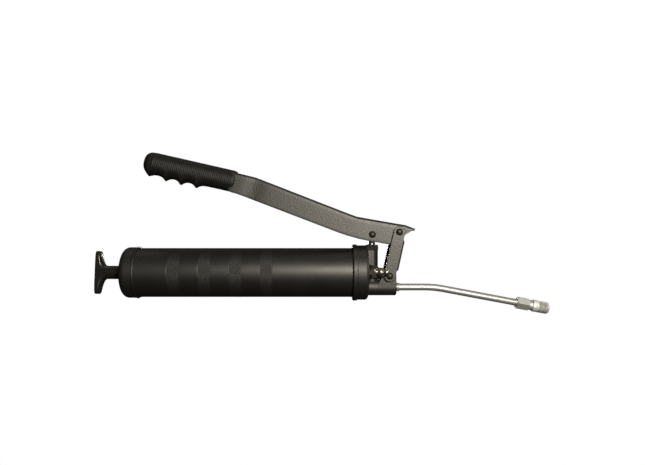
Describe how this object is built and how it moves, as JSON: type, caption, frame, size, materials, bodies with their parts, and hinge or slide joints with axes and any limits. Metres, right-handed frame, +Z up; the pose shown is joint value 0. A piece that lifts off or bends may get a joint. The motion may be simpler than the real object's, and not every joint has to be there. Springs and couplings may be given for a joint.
{
  "type": "lever grease gun",
  "caption": "Hand lever grease gun: banded barrel, cast pump head, stamped lever with finger grip, bent steel pipe with coupler, and a T-handled follower rod.",
  "frame": {"origin": "on the barrel's axis, midway along the visible barrel", "axes": "+X along the barrel towards the coupler, +Z up towards the lever, +Y away from the filler nipple's side"},
  "size_m": [0.5284, 0.0654, 0.1884],
  "materials": {
    "black_enamel": "satin black enamel on casting and cap",
    "barrel_enamel": "satin black enamel, knurled bands",
    "grey_enamel": "satin dark grey enamel",
    "black_rubber": "matt moulded",
    "black_plastic": "gloss moulded",
    "dark_pin_steel": "blackened",
    "bright_steel": "zinc plated, bright",
    "ground_steel": "ground and polished",
    "spring_steel": "drawn wire",
    "plain_steel": "stamped",
    "seal_rubber": "matt nitrile rubber"
  },
  "bodies": {
    "head": {"head_casting": "black_enamel", "gland_nut": "bright_steel", "packing_washer": "plain_steel", "plunger_packing": "seal_rubber", "outlet_spring": "spring_steel", "filler_nipple": "bright_steel", "filler_spring": "spring_steel", "extension_pipe": "bright_steel", "coupler_body": "bright_steel", "coupler_ball_spring": "spring_steel", "coupler_seal": "seal_rubber", "jaw_spring": "spring_steel"},
    "link": {"link_channel": "grey_enamel", "link_pin_lower": "dark_pin_steel", "link_pin_upper": "dark_pin_steel", "link_pin_clips": "dark_pin_steel"},
    "lever": {"lever_channel": "grey_enamel", "grip": "black_rubber", "plunger_pin": "dark_pin_steel", "plunger_pin_clip": "dark_pin_steel"},
    "plunger": {"plunger": "ground_steel"},
    "outlet_valve": {"outlet_ball": "ground_steel"},
    "filler_valve": {"filler_ball": "ground_steel"},
    "coupler_valve": {"coupler_ball": "ground_steel"},
    "jaws": {"coupler_jaws": "bright_steel"},
    "sleeve": {"coupler_sleeve": "bright_steel"},
    "gasket": {"barrel_gasket": "seal_rubber"},
    "barrel": {"barrel_tube": "barrel_enamel", "rear_cap": "black_enamel", "rod_bush": "plain_steel", "rod_seal": "seal_rubber", "follower_spring": "spring_steel"},
    "follower": {"follower_cup": "seal_rubber", "follower_rear_plate": "plain_steel", "follower_front_plate": "plain_steel"},
    "rod": {"follower_rod": "ground_steel", "follower_nut": "plain_steel", "t_handle": "black_plastic", "handle_pin": "dark_pin_steel"}
  },
  "joints": [
    {"name": "link_swing", "type": "hinge", "parent": "head", "child": "link", "pos_m": [0.1662, 0, -0.0033], "axis": [0, 1, 0], "range_deg": [-3.1, 0.8]},
    {"name": "lever_swing", "type": "hinge", "parent": "link", "child": "lever", "pos_m": [0.1773, 0, 0.0473], "axis": [0, 1, 0], "range_deg": [-9, 38]},
    {"name": "plunger_stroke", "type": "slide", "parent": "head", "child": "plunger", "axis": [0, 0, 1], "range_m": [-0.0046, 0.0191]},
    {"name": "outlet_ball_lift", "type": "slide", "parent": "head", "child": "outlet_valve", "axis": [1, 0, 0], "range_m": [0, 0.0015], "stiffness_N_per_m": 300, "springref_m": -0.0005, "deforming": ["outlet_spring"]},
    {"name": "filler_ball_lift", "type": "slide", "parent": "head", "child": "filler_valve", "axis": [-0.829, 0.5592, 0], "range_m": [0, 0.0015], "stiffness_N_per_m": 300, "springref_m": -0.0005, "deforming": ["filler_spring"]},
    {"name": "coupler_ball_lift", "type": "slide", "parent": "head", "child": "coupler_valve", "axis": [0.9829, 0, -0.184], "range_m": [0, 0.001], "stiffness_N_per_m": 300, "springref_m": -0.0005, "deforming": ["coupler_ball_spring"]},
    {"name": "jaw_travel", "type": "slide", "parent": "head", "child": "jaws", "axis": [0.9829, 0, -0.184], "range_m": [0, 0.003], "deforming": ["jaw_spring"]},
    {"name": "sleeve_turn", "type": "hinge", "parent": "jaws", "child": "sleeve", "pos_m": [0.34469, 0, -0.04052], "axis": [0.9829, 0, -0.184], "range_deg": [0, 1085]},
    {"name": "barrel_back_off", "type": "slide", "parent": "head", "child": "gasket", "axis": [-1, 0, 0], "range_m": [0, 0.009]},
    {"name": "barrel_turn", "type": "hinge", "parent": "gasket", "child": "barrel", "pos_m": [0.12, 0, 0], "axis": [-1, 0, 0], "range_deg": [0, 1085]},
    {"name": "rod_pull", "type": "slide", "parent": "barrel", "child": "follower", "axis": [-1, 0, 0], "range_m": [0, 0.195], "deforming": ["follower_spring"]},
    {"name": "rod_turn", "type": "hinge", "parent": "follower", "child": "rod", "pos_m": [-0.149, 0, 0], "axis": [1, 0, 0], "continuous": true}
  ],
  "couplings": [
    {"joint": "link_swing", "follows": "lever_swing", "ratio": -0.08},
    {"joint": "plunger_stroke", "follows": "lever_swing", "m_per_rad": 0.028648},
    {"joint": "sleeve_turn", "follows": "jaw_travel", "rad_per_m": 6283.2},
    {"joint": "barrel_turn", "follows": "barrel_back_off", "rad_per_m": 2094.4}
  ]
}
